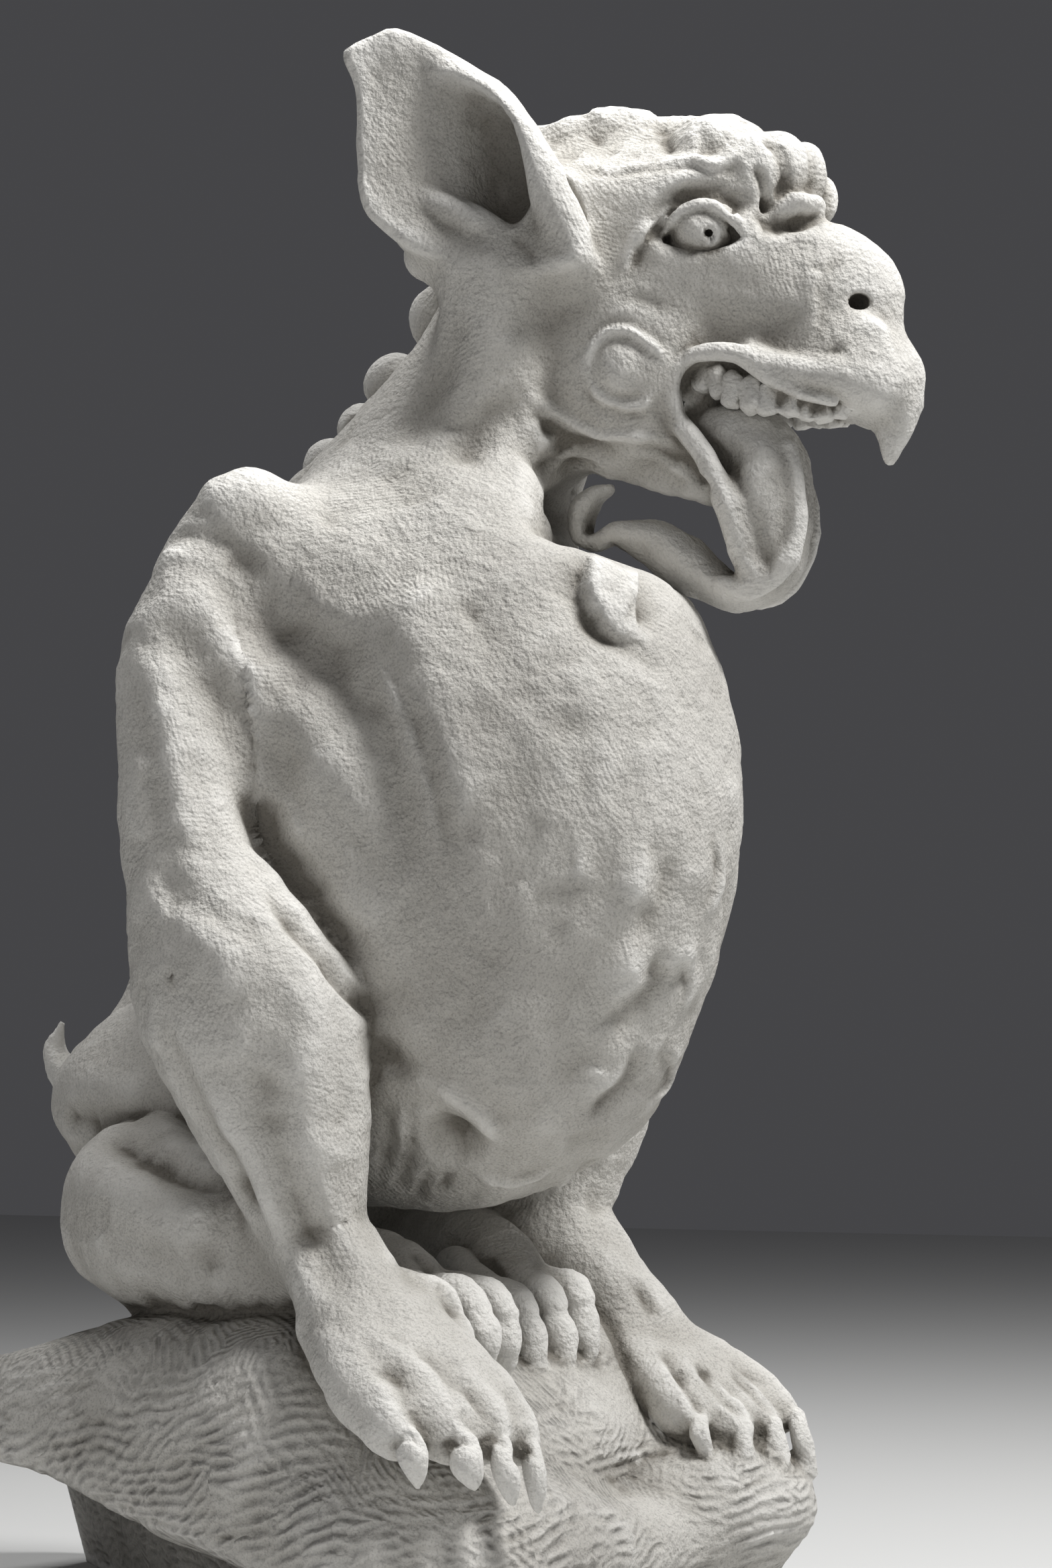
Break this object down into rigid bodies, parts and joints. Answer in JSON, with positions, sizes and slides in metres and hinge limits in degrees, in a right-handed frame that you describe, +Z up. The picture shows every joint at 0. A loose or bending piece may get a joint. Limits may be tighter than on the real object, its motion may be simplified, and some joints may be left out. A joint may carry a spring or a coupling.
{
  "type": "stone gargoyle",
  "caption": "Squatting stone beast with upright ears, gaping hooked beak and long looped tongue, carved with the rough tooled rock it sits on.",
  "frame": {"origin": "on the flat underside of the rock, below the middle of the whole carving's box", "axes": "+Z up, the beast's body faces -Y, its right side is -X"},
  "size_m": [0.5341, 0.8342, 1.1554],
  "materials": {
    "limestone": "matte tooled limestone"
  },
  "bodies": {
    "root": {"gargoyle": "limestone"}
  },
  "joints": []
}
